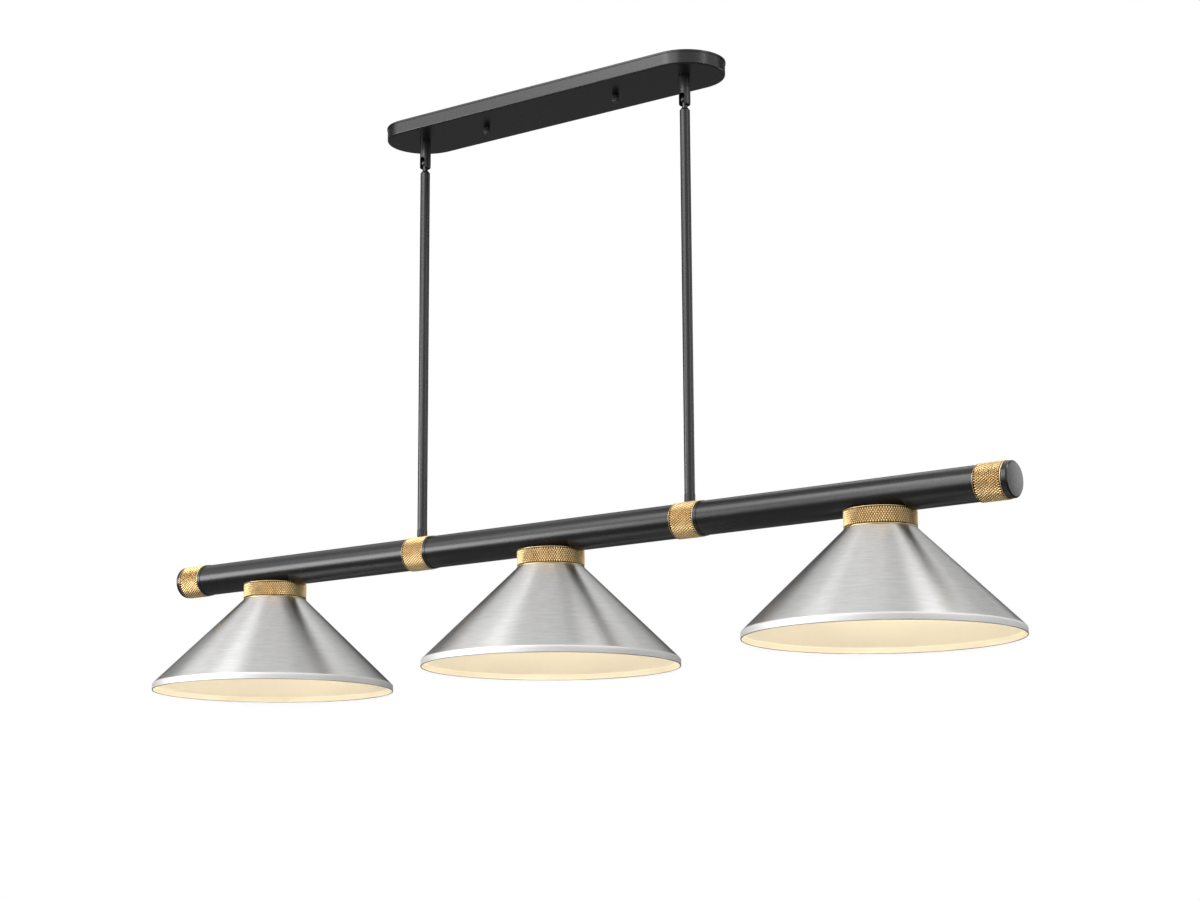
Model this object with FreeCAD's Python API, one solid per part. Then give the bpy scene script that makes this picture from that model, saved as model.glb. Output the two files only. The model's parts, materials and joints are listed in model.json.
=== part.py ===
"""Linear island pendant with three cone shades on a bar, hung from a canopy by two swivelling stems.

Millimetres, +Z up, X along the bar. The origin is the centre of the canopy in the ceiling plane.
"""
import FreeCAD
import Part
import math
import os

from FreeCAD import Vector

# Fits
FIT = 0.10            # radial play of small threads and pins within one body
SLEEVE_FIT = 0.15     # radial play of the large sleeves, hubs and spigots
BALL_FIT = 0.30       # gap between a swivel ball and its seat
HOLE_FIT = 0.25       # radial play of a clearance hole round a nipple
LEVEL_TOLERANCE = 0.01

# Threads shared by all nipples
NIPPLE_R = 4.85
NIPPLE_BORE_R = 3.4
NUT_ACROSS_FLATS = 14.0
NUT_HEIGHT = 4.0
WASHER_R = 8.5

# Canopy pan
CANOPY_LENGTH = 580.0
CANOPY_WIDTH = 112.0
CANOPY_DEPTH = 20.0
CANOPY_WALL = 1.2
CANOPY_EDGE_RADIUS = 2.5
CANOPY_LIP_HEIGHT = 2.5
CANOPY_LIP_PROUD = 0.8

# Crossbar, a strap with folded edges against the ceiling
CROSSBAR_LENGTH = 260.0
CROSSBAR_WIDTH = 25.0
CROSSBAR_THICKNESS = 2.0
CROSSBAR_EDGE_DEPTH = 6.0
CROSSBAR_CORNER_RADIUS = 4.0
CROSSBAR_CENTRE_HOLE_R = 5.2
BOX_SCREW_SPACING = 79.4
BOX_SLOT_LENGTH = 16.0
BOX_SLOT_WIDTH = 4.6
GROUND_SCREW_X = 18.0
GROUND_SCREW_R = 2.0
GROUND_HEAD_R = 3.6
GROUND_HEAD_HEIGHT = 2.4

# Studs and knurled cap nuts that hold the pan
STUD_SPACING = 232.0
STUD_R = 2.0
STUD_NUT_ACROSS_FLATS = 7.0
STUD_NUT_HEIGHT = 3.2
CAP_NUT_R = 4.8
CAP_NUT_HEIGHT = 11.0
CAP_NUT_ROOF = 2.0
CAP_NUT_CHAMFER = 0.8

# Hanger nipples through the pan
HANGER_RISE = 10.0
HANGER_WASHER_R = 10.0
HANGER_WASHER_THICKNESS = 1.2

# Swivels
STEM_SPACING = 466.0
SLEEVE_R = 8.0
SLEEVE_WALL = 1.3
SLEEVE_LENGTH = 40.5
SLEEVE_FOOT_RADIUS = 2.2
BUSHING_LENGTH = 12.0
BALL_R = 6.2
BALL_ABOVE_FOOT = 8.0
SEAT_MOUTH_R = 5.4
FLARE_R = 6.6
SLOT_PLAY = 0.3
SLOT_RISE = 16.6
NECK_R = 4.0
NECK_GAP = 4.7
SPIGOT_LENGTH = 10.0
BALL_BORE_R = 2.75

# Stems
STEM_R = 7.0
STEM_LENGTH = 536.0
STEM_CHAMFER = 1.8
STEM_CHAMFER_RISE = 2.5
STEM_NIPPLE_RISE = 10.0
COLLAR_R = 7.4
COLLAR_HEIGHT = 10.0

# Bar
BAR_LENGTH = 1422.0
BAR_R = 23.0
BAR_WALL = 1.5
SHOULDER_R = 23.7
SHOULDER_WIDTH = 5.0
BAND_R = 24.5
BAND_WIDTH = 38.0
BAND_LAND = 1.5
BAND_RELIEF = 0.3
BAND_CHAMFER = 0.4
HUB_LENGTH = 70.0
HUB_WALL = 4.0
CAP_R = 23.3
CAP_WIDTH = 8.5
CAP_CHAMFER = 0.8
CAP_SPIGOT_LENGTH = 12.0
CAP_SPIGOT_WALL = 3.0
SADDLE_THICKNESS = 3.5
NIPPLE_END = 1.0

# Neck cups
SHADE_SPACING = 522.0
CUP_R = 46.7
CUP_HEIGHT = 23.0
CUP_WALL = 2.5
CUP_ROOF = 6.0
CUP_TOP_RADIUS = 1.0
CUP_LAND = 1.6
CUP_SINK = 4.0

# Shades
RIM_R = 177.8
RIM_DROP = 179.0
SHADE_WALL = 1.2
SHADE_SLOPE = 1.03
LIP_HEIGHT = 8.5
LIP_BEND_RADIUS = 6.0
SHADE_TOP_R = 45.6
SHADE_TOP_RADIUS = 1.5

# Sockets, rings and bulbs
SOCKET_R = 20.0
SOCKET_TOP_R = 17.0
SOCKET_TOP_HEIGHT = 8.0
SOCKET_FLANGE_R = 24.0
SOCKET_FLANGE_THICKNESS = 3.0
SOCKET_LENGTH = 44.0
SOCKET_CAVITY_DEPTH = 22.0
SOCKET_WIRE_HOLE_R = 3.0
SHELL_WALL = 0.5
CONTACT_R = 4.0
CONTACT_THICKNESS = 0.8
RING_R = 27.0
RING_HEIGHT = 7.0
RING_CHAMFER = 2.3
BASE_R = 13.1
BASE_TIP_R = 4.5
BASE_TIP_HEIGHT = 1.8
BASE_CONE_HEIGHT = 3.0
BASE_LENGTH = 24.0
GLASS_R = 30.0
GLASS_WALL = 1.0
GLASS_NECK_LENGTH = 9.0
GLASS_NECK_RADIUS = 15.0
BULB_LENGTH = 103.0

# Leads
LEAD_R = 1.0
LEAD_OFFSET = 1.3
LEAD_STEM_BEND = 12.0
LEAD_LAMP_BEND = 8.0
LEAD_DROP = 5.0
LEAD_INTO_SOCKET = 4.0
LEAD_FIRST_TURN = 180.0
LEAD_TURN_STEP = 240.0

# Levels that follow from the sizes above
PAN_FLOOR_TOP = -CANOPY_DEPTH + CANOPY_WALL
SLEEVE_FOOT = -CANOPY_DEPTH - SLEEVE_LENGTH
BALL_Z = SLEEVE_FOOT + BALL_ABOVE_FOOT
STEM_TOP = SLEEVE_FOOT - NECK_GAP
STEM_FOOT = STEM_TOP - STEM_LENGTH
BAR_Z = STEM_FOOT - COLLAR_HEIGHT - BAND_R
BAR_INNER_R = BAR_R - BAR_WALL
HUB_R = BAR_INNER_R - SLEEVE_FIT
HUB_INNER_R = HUB_R - HUB_WALL
CUP_TOP = BAR_Z - BAR_R + CUP_SINK
CUP_FOOT = CUP_TOP - CUP_HEIGHT
CUP_CEILING = CUP_TOP - CUP_ROOF
RIM_Z = BAR_Z - RIM_DROP
SHADE_PLATE_FOOT = CUP_FOOT - SHADE_WALL
SOCKET_FOOT = CUP_CEILING - SOCKET_LENGTH
SOCKET_CAVITY_TOP = SOCKET_FOOT + SOCKET_CAVITY_DEPTH
BULB_TOP = SOCKET_CAVITY_TOP - CONTACT_THICKNESS - FIT
GLASS_TOP = BULB_TOP - BASE_LENGTH
SHELL_INNER_R = BASE_R + FIT
SHELL_OUTER_R = SHELL_INNER_R + SHELL_WALL
NIPPLE_HOLE_R = NIPPLE_R + FIT
CLEAR_HOLE_R = NIPPLE_R + HOLE_FIT

# Places along the bar
STEM_X = {"left": -STEM_SPACING / 2, "right": STEM_SPACING / 2}
LAMP_X = {"left": -SHADE_SPACING, "centre": 0.0, "right": SHADE_SPACING}
BAR_END = BAR_LENGTH / 2 - CAP_WIDTH
SEAM_X = {side: x + BAND_WIDTH / 2 for side, x in STEM_X.items()}

X_AXIS = Vector(1, 0, 0)
Y_AXIS = Vector(0, 1, 0)
Z_AXIS = Vector(0, 0, 1)


def rod(radius, low, high, x=0.0, y=0.0):
    """Upright cylinder from low to high."""
    return Part.makeCylinder(radius, high - low, Vector(x, y, low), Z_AXIS)


def pipe(outer, inner, low, high, x=0.0):
    """Upright tube from low to high."""
    return rod(outer, low, high, x).cut(rod(inner, low, high, x))


def bar_rod(radius, left, right):
    """Cylinder on the axis of the bar from left to right."""
    return Part.makeCylinder(radius, right - left, Vector(left, 0, BAR_Z), X_AXIS)


def box(x0, x1, y0, y1, z0, z1):
    """Box between two corners."""
    return Part.makeBox(x1 - x0, y1 - y0, z1 - z0, Vector(x0, y0, z0))


def rounded_path(points, radii):
    """Edges along points in the XZ plane, with a tangent arc of the given radius at each inner point."""
    edges = []
    start = points[0]
    for before, corner, after, radius in zip(points, points[1:], points[2:], radii):
        if radius <= 0:
            edges.append(Part.makeLine(start, corner))
            start = corner
            continue
        back = (before - corner).normalize()
        ahead = (after - corner).normalize()
        half_angle = back.getAngle(ahead) / 2
        reach = radius / math.tan(half_angle)
        first = corner + back * reach
        last = corner + ahead * reach
        centre = corner + (back + ahead).normalize() * (radius / math.sin(half_angle))
        middle = centre + (corner - centre).normalize() * radius
        edges.append(Part.makeLine(start, first))
        edges.append(Part.Arc(first, middle, last).toShape())
        start = last
    edges.append(Part.makeLine(start, points[-1]))
    return edges


def profile_points(pairs):
    """Points in the XZ plane from (radius, height) pairs."""
    return [Vector(r, 0, z) for r, z in pairs]


def revolved(pairs, x=0.0, radii=None):
    """Solid of revolution about an upright axis at x, from a closed outline of (radius, height) pairs.

    radii gives the corner radius of each pair, 0 for a sharp corner; the first corner stays sharp.
    """
    points = profile_points(pairs)
    points.append(points[0])
    corner_radii = [0.0] * (len(points) - 2) if radii is None else radii[1:]
    wire = Part.Wire(rounded_path(points, corner_radii))
    solid = Part.Face(wire).revolve(Vector(0, 0, 0), Z_AXIS, 360)
    solid.translate(Vector(x, 0, 0))
    return solid


def revolved_on_bar(pairs):
    """Solid of revolution about the bar's axis, from a closed outline of (radius, x) pairs."""
    points = [Vector(x, 0, BAR_Z + r) for r, x in pairs]
    points.append(points[0])
    wire = Part.Wire([Part.makeLine(a, b) for a, b in zip(points, points[1:])])
    return Part.Face(wire).revolve(Vector(0, 0, BAR_Z), X_AXIS, 360)


def hex_nut(across_flats, bore, low, high, x=0.0):
    """Upright hexagon nut with chamfered corners."""
    corner = across_flats / math.sqrt(3)
    turns = [math.radians(60 * k) for k in range(7)]
    outline = [Vector(x + corner * math.cos(t), corner * math.sin(t), low) for t in turns]
    prism = Part.Face(Part.makePolygon(outline)).extrude(Vector(0, 0, high - low))
    flat = across_flats / 2
    lift = (corner - flat) / 2
    outline = [(0, low), (flat, low), (corner, low + lift), (corner, high - lift), (flat, high), (0, high)]
    return prism.common(revolved(outline, x)).cut(rod(bore, low, high, x))


def stadium(length, width, low, high):
    """Upright solid with straight sides and half-round ends."""
    radius = width / 2
    half = length / 2 - radius
    front_left = Vector(-half, -radius, low)
    front_right = Vector(half, -radius, low)
    back_left = Vector(-half, radius, low)
    back_right = Vector(half, radius, low)
    edges = [
        Part.makeLine(front_left, front_right),
        Part.Arc(front_right, Vector(length / 2, 0, low), back_right).toShape(),
        Part.makeLine(back_right, back_left),
        Part.Arc(back_left, Vector(-length / 2, 0, low), front_left).toShape(),
    ]
    return Part.Face(Part.Wire(edges)).extrude(Vector(0, 0, high - low))


def rounded_foot(solid, level, radius):
    """Fillet every edge that lies flat at a level."""
    bounds = [(e, e.BoundBox) for e in solid.Edges]
    flat = [e for e, b in bounds if max(b.ZMax - level, level - b.ZMin) < LEVEL_TOLERANCE]
    return solid.makeFillet(radius, flat)


def group(solids):
    """Several separate solids as one node."""
    return Part.makeCompound(solids)


def canopy_pan():
    body_length = CANOPY_LENGTH - 2 * CANOPY_LIP_PROUD
    body_width = CANOPY_WIDTH - 2 * CANOPY_LIP_PROUD
    outside = stadium(body_length, body_width, -CANOPY_DEPTH, 0)
    outside = rounded_foot(outside, -CANOPY_DEPTH, CANOPY_EDGE_RADIUS)
    lip = stadium(CANOPY_LENGTH, CANOPY_WIDTH, -CANOPY_LIP_HEIGHT, 0)
    inner_length = body_length - 2 * CANOPY_WALL
    inner_width = body_width - 2 * CANOPY_WALL
    inside = stadium(inner_length, inner_width, PAN_FLOOR_TOP, CANOPY_WALL)
    inside = rounded_foot(inside, PAN_FLOOR_TOP, CANOPY_EDGE_RADIUS - CANOPY_WALL)
    pan = outside.fuse(lip).cut(inside)
    for x in STEM_X.values():
        pan = pan.cut(rod(CLEAR_HOLE_R, -CANOPY_DEPTH, 0, x))
    for side in (-1, 1):
        pan = pan.cut(rod(STUD_R + HOLE_FIT, -CANOPY_DEPTH, 0, side * STUD_SPACING / 2))
    return pan.removeSplitter()


def crossbar():
    half_length = CROSSBAR_LENGTH / 2
    half_width = CROSSBAR_WIDTH / 2
    strap = box(-half_length, half_length, -half_width, half_width, -CROSSBAR_EDGE_DEPTH, 0)
    corners = [e for e in strap.Edges if abs(e.BoundBox.ZLength - CROSSBAR_EDGE_DEPTH) < LEVEL_TOLERANCE]
    strap = strap.makeFillet(CROSSBAR_CORNER_RADIUS, corners)
    channel_half = half_width - CROSSBAR_THICKNESS
    strap = strap.cut(box(-half_length, half_length, -channel_half, channel_half,
                          -CROSSBAR_EDGE_DEPTH, -CROSSBAR_THICKNESS))
    strap = strap.cut(rod(CROSSBAR_CENTRE_HOLE_R, -CROSSBAR_THICKNESS, 0))
    strap = strap.cut(rod(GROUND_SCREW_R + FIT, -CROSSBAR_THICKNESS, 0, GROUND_SCREW_X))
    for side in (-1, 1):
        strap = strap.cut(rod(STUD_R + FIT, -CROSSBAR_THICKNESS, 0, side * STUD_SPACING / 2))
        slot = stadium(BOX_SLOT_LENGTH, BOX_SLOT_WIDTH, -CROSSBAR_THICKNESS, 0)
        slot.translate(Vector(side * BOX_SCREW_SPACING / 2, 0, 0))
        strap = strap.cut(slot)
    return strap


def ground_screw():
    head_foot = -CROSSBAR_THICKNESS - GROUND_HEAD_HEIGHT
    head = hex_nut(2 * GROUND_HEAD_R, GROUND_SCREW_R, head_foot, -CROSSBAR_THICKNESS, GROUND_SCREW_X)
    return head.fuse(rod(GROUND_SCREW_R, head_foot, 0, GROUND_SCREW_X)).removeSplitter()


def canopy_studs():
    foot = -CANOPY_DEPTH - CAP_NUT_HEIGHT + CAP_NUT_ROOF + FIT
    return group([rod(STUD_R, foot, 0, side * STUD_SPACING / 2) for side in (-1, 1)])


def stud_lock_nuts():
    top = -CROSSBAR_THICKNESS
    foot = top - STUD_NUT_HEIGHT
    bore = STUD_R + FIT
    places = [side * STUD_SPACING / 2 for side in (-1, 1)]
    return group([hex_nut(STUD_NUT_ACROSS_FLATS, bore, foot, top, x) for x in places])


def canopy_cap_nuts():
    top = -CANOPY_DEPTH
    foot = top - CAP_NUT_HEIGHT
    bore = STUD_R + FIT
    bore_end = foot + CAP_NUT_ROOF
    outline = [(bore, top), (CAP_NUT_R, top), (CAP_NUT_R, foot + CAP_NUT_CHAMFER),
               (CAP_NUT_R - CAP_NUT_CHAMFER, foot), (0, foot), (0, bore_end), (bore, bore_end)]
    return group([revolved(outline, side * STUD_SPACING / 2) for side in (-1, 1)])


def hanger_nipples():
    foot = -CANOPY_DEPTH - BUSHING_LENGTH
    top = PAN_FLOOR_TOP + HANGER_RISE
    return group([pipe(NIPPLE_R, NIPPLE_BORE_R, foot, top, x) for x in STEM_X.values()])


def hanger_washers():
    top = PAN_FLOOR_TOP + HANGER_WASHER_THICKNESS
    return group([pipe(HANGER_WASHER_R, CLEAR_HOLE_R, PAN_FLOOR_TOP, top, x) for x in STEM_X.values()])


def hanger_lock_nuts():
    foot = PAN_FLOOR_TOP + HANGER_WASHER_THICKNESS
    top = foot + NUT_HEIGHT
    return group([hex_nut(NUT_ACROSS_FLATS, NIPPLE_HOLE_R, foot, top, x) for x in STEM_X.values()])


def sleeve_bushings():
    outer = SLEEVE_R - SLEEVE_WALL - FIT
    return group([pipe(outer, NIPPLE_HOLE_R, -CANOPY_DEPTH - BUSHING_LENGTH, -CANOPY_DEPTH, x)
                  for x in STEM_X.values()])


def swivel_sleeve(x):
    """Sleeve with a spherical seat, a flared mouth and a slot in front that the neck can swing into."""
    bore = SLEEVE_R - SLEEVE_WALL
    seat_r = BALL_R + BALL_FIT
    mouth_z = BALL_Z - math.sqrt(seat_r ** 2 - SEAT_MOUTH_R ** 2)
    outline = [(0, -CANOPY_DEPTH), (SLEEVE_R, -CANOPY_DEPTH), (SLEEVE_R, SLEEVE_FOOT), (0, SLEEVE_FOOT)]
    sleeve = revolved(outline, x, [0, 0, SLEEVE_FOOT_RADIUS, 0])
    sleeve = sleeve.cut(rod(bore, BALL_Z, -CANOPY_DEPTH, x))
    sleeve = sleeve.cut(Part.makeSphere(seat_r, Vector(x, 0, BALL_Z)))
    flare = revolved([(0, mouth_z), (SEAT_MOUTH_R, mouth_z), (FLARE_R, SLEEVE_FOOT), (0, SLEEVE_FOOT)], x)
    sleeve = sleeve.cut(flare)
    slot_r = NECK_R + SLOT_PLAY
    arch_z = SLEEVE_FOOT + SLOT_RISE - slot_r
    slot = box(x - slot_r, x + slot_r, -2 * SLEEVE_R, 0, SLEEVE_FOOT, arch_z)
    arch = Part.makeCylinder(slot_r, 2 * SLEEVE_R, Vector(x, 0, arch_z), -Y_AXIS)
    return sleeve.cut(slot.fuse(arch))


def swivel_ball(x):
    """Ball, neck and threaded spigot in one turned piece, with a hole for the leads."""
    ball = Part.makeSphere(BALL_R, Vector(x, 0, BALL_Z))
    neck = rod(NECK_R, STEM_TOP, BALL_Z, x)
    spigot = rod(NIPPLE_R, STEM_TOP - SPIGOT_LENGTH, STEM_TOP, x)
    whole = ball.fuse([neck, spigot]).removeSplitter()
    return whole.cut(rod(BALL_BORE_R, STEM_TOP - SPIGOT_LENGTH, BALL_Z + BALL_R, x))


def stem(x):
    bore = NIPPLE_HOLE_R
    chamfer_foot = STEM_TOP - STEM_CHAMFER_RISE
    return revolved([(bore, STEM_TOP), (STEM_R - STEM_CHAMFER, STEM_TOP), (STEM_R, chamfer_foot),
                     (STEM_R, STEM_FOOT), (bore, STEM_FOOT)], x)


def stem_collar(x):
    """Collar at the foot of a stem, hollowed below to sit on the round band."""
    blank = pipe(COLLAR_R, CLEAR_HOLE_R, BAR_Z, STEM_FOOT, x)
    return blank.cut(bar_rod(BAND_R, x - BAND_WIDTH, x + BAND_WIDTH))


def stem_nipples():
    foot = BAR_Z + HUB_INNER_R - SADDLE_THICKNESS - NUT_HEIGHT - NIPPLE_END
    top = STEM_FOOT + STEM_NIPPLE_RISE
    return group([pipe(NIPPLE_R, NIPPLE_BORE_R, foot, top, x) for x in STEM_X.values()])


def saddle_washer(x, tube_r, low, high):
    """Washer that is flat on the nut's side and round on the side of the tube."""
    blank = pipe(WASHER_R, NIPPLE_HOLE_R, low, high, x)
    return blank.common(bar_rod(tube_r - FIT, x - 2 * WASHER_R, x + 2 * WASHER_R))


def stem_saddle_washers():
    top = BAR_Z + HUB_INNER_R
    return group([saddle_washer(x, HUB_INNER_R, top - SADDLE_THICKNESS, top) for x in STEM_X.values()])


def stem_lock_nuts():
    top = BAR_Z + HUB_INNER_R - SADDLE_THICKNESS
    foot = top - NUT_HEIGHT
    return group([hex_nut(NUT_ACROSS_FLATS, NIPPLE_HOLE_R, foot, top, x) for x in STEM_X.values()])


def band(left, right):
    """Sleeve round the bar with plain lands at its edges and a slightly lower middle for the knurl."""
    inner = BAR_R + SLEEVE_FIT
    low = BAND_R - BAND_RELIEF
    edge = BAND_R - BAND_CHAMFER
    return revolved_on_bar([
        (inner, left), (edge, left), (BAND_R, left + BAND_CHAMFER), (BAND_R, left + BAND_LAND),
        (low, left + BAND_LAND + BAND_RELIEF), (low, right - BAND_LAND - BAND_RELIEF),
        (BAND_R, right - BAND_LAND), (BAND_R, right - BAND_CHAMFER), (edge, right), (inner, right)])


def stem_band(x):
    sleeve = band(x - BAND_WIDTH / 2, x + BAND_WIDTH / 2)
    return sleeve.cut(rod(CLEAR_HOLE_R, BAR_Z, STEM_FOOT, x))


def end_band(side):
    near = BAR_END - BAND_WIDTH
    return band(near, BAR_END) if side > 0 else band(-BAR_END, -near)


def joint_hub(x, seam):
    """Sleeve inside the bar across a seam, tapped for the stem's nipple."""
    sleeve = bar_rod(HUB_R, seam - HUB_LENGTH / 2, seam + HUB_LENGTH / 2)
    sleeve = sleeve.cut(bar_rod(HUB_INNER_R, seam - HUB_LENGTH / 2, seam + HUB_LENGTH / 2))
    return sleeve.cut(rod(NIPPLE_HOLE_R, BAR_Z, BAR_Z + BAR_R, x))


def bar_section(left, right, shoulder, stems, lamp):
    """Length of tube with one raised shoulder and the holes for the nipples of its stems and its lamp."""
    tube = bar_rod(BAR_R, left, right)
    tube = tube.fuse(bar_rod(SHOULDER_R, shoulder, shoulder + SHOULDER_WIDTH))
    tube = tube.cut(bar_rod(BAR_INNER_R, left, right))
    for side in stems:
        tube = tube.cut(rod(CLEAR_HOLE_R, BAR_Z, BAR_Z + BAR_R, STEM_X[side]))
    tube = tube.cut(rod(CLEAR_HOLE_R, BAR_Z - BAR_R, BAR_Z, LAMP_X[lamp]))
    return tube.removeSplitter()


def end_cap(side):
    """Turned cap with a chamfered face and a hollow spigot inside the bar."""
    outer = BAR_LENGTH / 2
    bore = HUB_R - CAP_SPIGOT_WALL
    inner_face = BAR_END + CAP_WIDTH / 2
    outline = [(0, outer), (CAP_R - CAP_CHAMFER, outer), (CAP_R, outer - CAP_CHAMFER), (CAP_R, BAR_END),
               (HUB_R, BAR_END), (HUB_R, BAR_END - CAP_SPIGOT_LENGTH), (bore, BAR_END - CAP_SPIGOT_LENGTH),
               (bore, inner_face), (0, inner_face)]
    return revolved_on_bar([(r, side * x) for r, x in outline])


def neck_cup(x):
    """Cup between the bar and a shade, with a saddle in its roof that the bar sinks into."""
    inner = CUP_R - CUP_WALL
    low = CUP_R - BAND_RELIEF
    cup = revolved([
        (0, CUP_TOP), (CUP_R, CUP_TOP), (CUP_R, CUP_TOP - CUP_LAND), (low, CUP_TOP - CUP_LAND - BAND_RELIEF),
        (low, CUP_FOOT + CUP_LAND + BAND_RELIEF), (CUP_R, CUP_FOOT + CUP_LAND), (CUP_R, CUP_FOOT),
        (inner, CUP_FOOT), (inner, CUP_CEILING), (0, CUP_CEILING)],
        x, [0, CUP_TOP_RADIUS, 0, 0, 0, 0, 0, 0, 0, 0])
    cup = cup.cut(bar_rod(BAR_R + FIT, x - 2 * CUP_R, x + 2 * CUP_R))
    return cup.cut(rod(CLEAR_HOLE_R, CUP_CEILING, CUP_TOP, x))


def lamp_nipples():
    top = BAR_Z - BAR_INNER_R + SADDLE_THICKNESS + NUT_HEIGHT + NIPPLE_END
    foot = SOCKET_CAVITY_TOP + NIPPLE_R + SOCKET_WIRE_HOLE_R
    return group([pipe(NIPPLE_R, NIPPLE_BORE_R, foot, top, x) for x in LAMP_X.values()])


def lamp_saddle_washers():
    foot = BAR_Z - BAR_INNER_R
    return group([saddle_washer(x, BAR_INNER_R, foot, foot + SADDLE_THICKNESS) for x in LAMP_X.values()])


def lamp_lock_nuts():
    foot = BAR_Z - BAR_INNER_R + SADDLE_THICKNESS
    top = foot + NUT_HEIGHT
    return group([hex_nut(NUT_ACROSS_FLATS, NIPPLE_HOLE_R, foot, top, x) for x in LAMP_X.values()])


def socket_body(x):
    """Insulating lamp holder: tapped top, flange above the shade, plain skirt below it."""
    cavity = SHELL_OUTER_R + FIT
    flange_top = CUP_FOOT + SOCKET_FLANGE_THICKNESS
    neck_foot = CUP_CEILING - SOCKET_TOP_HEIGHT
    body = revolved([
        (0, CUP_CEILING), (SOCKET_TOP_R, CUP_CEILING), (SOCKET_TOP_R, neck_foot),
        (SOCKET_FLANGE_R, flange_top), (SOCKET_FLANGE_R, CUP_FOOT), (SOCKET_R, CUP_FOOT),
        (SOCKET_R, SOCKET_FOOT), (cavity, SOCKET_FOOT), (cavity, SOCKET_CAVITY_TOP),
        (0, SOCKET_CAVITY_TOP)], x)
    body = body.cut(rod(NIPPLE_HOLE_R, SOCKET_CAVITY_TOP + NIPPLE_R + SOCKET_WIRE_HOLE_R, CUP_CEILING, x))
    return body.cut(rod(SOCKET_WIRE_HOLE_R, SOCKET_CAVITY_TOP + SOCKET_WIRE_HOLE_R, CUP_CEILING, x))


def socket_shells():
    top = SOCKET_CAVITY_TOP
    return group([pipe(SHELL_OUTER_R, SHELL_INNER_R, SOCKET_FOOT, top, x) for x in LAMP_X.values()])


def socket_contacts():
    foot = SOCKET_CAVITY_TOP - CONTACT_THICKNESS
    return group([rod(CONTACT_R, foot, SOCKET_CAVITY_TOP, x) for x in LAMP_X.values()])


def shade_wall_path(inset):
    """Corners of the shade's section, from the hole in its top to its rim, moved in by inset."""
    lean = math.hypot(1, SHADE_SLOPE)
    rim = RIM_R - inset
    apex = CUP_FOOT + SHADE_TOP_R / SHADE_SLOPE - inset * lean / SHADE_SLOPE
    top = CUP_FOOT - inset
    return [(SOCKET_R + HOLE_FIT, top), ((apex - top) * SHADE_SLOPE, top), (rim, apex - rim / SHADE_SLOPE),
            (rim, RIM_Z)]


def shade(x):
    """Spun cone with a flat top, a bend and a short upright lip."""
    outer = shade_wall_path(0)
    inner = shade_wall_path(SHADE_WALL)
    outer_radii = [0, SHADE_TOP_RADIUS, LIP_BEND_RADIUS, 0]
    inner_radii = [0, LIP_BEND_RADIUS - SHADE_WALL, SHADE_TOP_RADIUS - SHADE_WALL, 0]
    return revolved(outer + inner[::-1], x, outer_radii + inner_radii)


def shade_ring(x):
    """Ring that clamps the shade's flat top against the socket's flange."""
    top = SHADE_PLATE_FOOT
    foot = top - RING_HEIGHT
    inner = SOCKET_R + FIT
    outline = [(inner, top), (RING_R, top), (RING_R, foot + RING_CHAMFER), (RING_R - RING_CHAMFER, foot),
               (inner, foot)]
    return revolved(outline, x)


def bulb_base(x):
    """Screw base of a lamp, drawn at the thread's outer size."""
    tip_foot = BULB_TOP - BASE_TIP_HEIGHT
    cone_foot = tip_foot - BASE_CONE_HEIGHT
    return revolved([(0, BULB_TOP), (BASE_TIP_R, BULB_TOP), (BASE_TIP_R, tip_foot), (BASE_R, cone_foot),
                     (BASE_R, GLASS_TOP), (0, GLASS_TOP)], x)


def glass_path(radius, neck_r, top):
    """Half outline of a bulb: neck, tangent cone and round end; returns its edges from neck to tip."""
    centre_z = BULB_TOP - BULB_LENGTH + GLASS_R
    neck_z = GLASS_TOP - GLASS_NECK_LENGTH
    rise = neck_z - centre_z
    reach = math.hypot(neck_r, rise)
    tangent = math.atan2(rise, neck_r) - math.acos(radius / reach)
    touch = Vector(radius * math.cos(tangent), 0, centre_z + radius * math.sin(tangent))
    belly_turn = (tangent - math.pi / 2) / 2
    belly = Vector(radius * math.cos(belly_turn), 0, centre_z + radius * math.sin(belly_turn))
    tip = Vector(0, 0, centre_z - radius)
    edges = rounded_path([Vector(neck_r, 0, top), Vector(neck_r, 0, neck_z), touch], [GLASS_NECK_RADIUS])
    edges.append(Part.Arc(touch, belly, tip).toShape())
    return edges


def bulb_glass(x):
    outer_neck = BASE_R - FIT
    outer = glass_path(GLASS_R, outer_neck, GLASS_TOP)
    inner = glass_path(GLASS_R - GLASS_WALL, outer_neck - GLASS_WALL, GLASS_TOP)
    tip_outer = outer[-1].valueAt(outer[-1].LastParameter)
    tip_inner = inner[-1].valueAt(inner[-1].LastParameter)
    start_outer = outer[0].valueAt(outer[0].FirstParameter)
    start_inner = inner[0].valueAt(inner[0].FirstParameter)
    joining = [Part.makeLine(tip_outer, tip_inner), Part.makeLine(start_inner, start_outer)]
    wire = Part.Wire(Part.__sortEdges__(outer + inner + joining))
    glass = Part.Face(wire).revolve(Vector(0, 0, 0), Z_AXIS, 360)
    glass.translate(Vector(x, 0, 0))
    return glass


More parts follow.
